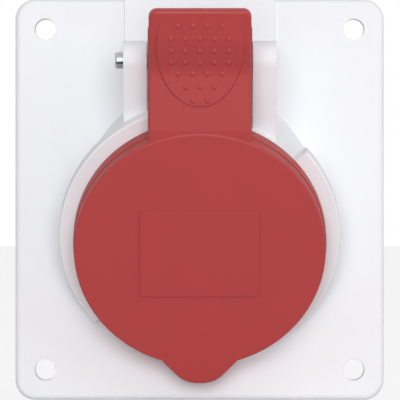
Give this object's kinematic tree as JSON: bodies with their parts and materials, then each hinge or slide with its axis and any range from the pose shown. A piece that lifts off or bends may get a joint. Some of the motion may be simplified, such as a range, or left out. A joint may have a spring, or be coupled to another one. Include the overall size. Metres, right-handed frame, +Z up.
{
  "type": "industrial panel socket",
  "caption": "Sloped round power socket on a rectangular white flange, with a red spring-closed lid hinged at the top, for a four-pin plug.",
  "frame": {"origin": "centre of the four fixing holes, on the flange's back face", "axes": "+Z up the flange, -Y out of the panel towards the user, +X to the right as seen from the front"},
  "size_m": [0.092, 0.0877, 0.1],
  "materials": {
    "white_plastic": "fine satin moulding",
    "red_plastic": "fine satin moulding",
    "black_rubber": "smooth black rubber",
    "steel": "zinc-plated steel",
    "black_plastic": "moulded, dull",
    "brass": "turned brass"
  },
  "bodies": {
    "housing": {"flange_housing": "white_plastic", "panel_gasket": "black_rubber", "carrier_seal": "black_rubber", "hinge_pin": "steel", "lid_spring": "steel", "carrier_screws": "steel", "clamp_screw": "steel", "grip_ring_l1": "steel", "grip_ring_l2": "steel", "grip_ring_l3": "steel", "grip_ring_earth": "steel", "terminal_screw_l1": "steel", "terminal_screw_l2": "steel", "terminal_screw_l3": "steel", "terminal_screw_earth": "steel", "contact_carrier": "black_plastic", "clamp_plate": "black_plastic", "contact_l1": "brass", "contact_l2": "brass", "contact_l3": "brass", "contact_earth": "brass"},
    "lid": {"lid": "red_plastic", "lid_gasket": "black_rubber"}
  },
  "joints": [
    {"name": "lid_hinge", "type": "hinge", "parent": "housing", "child": "lid", "pos_m": [0, -0.02774, 0.03414], "axis": [-1, 0, 0], "range_deg": [0, 105], "stiffness_Nm_per_rad": 0.05, "springref_deg": -85.94, "deforming": ["lid_spring"]}
  ]
}
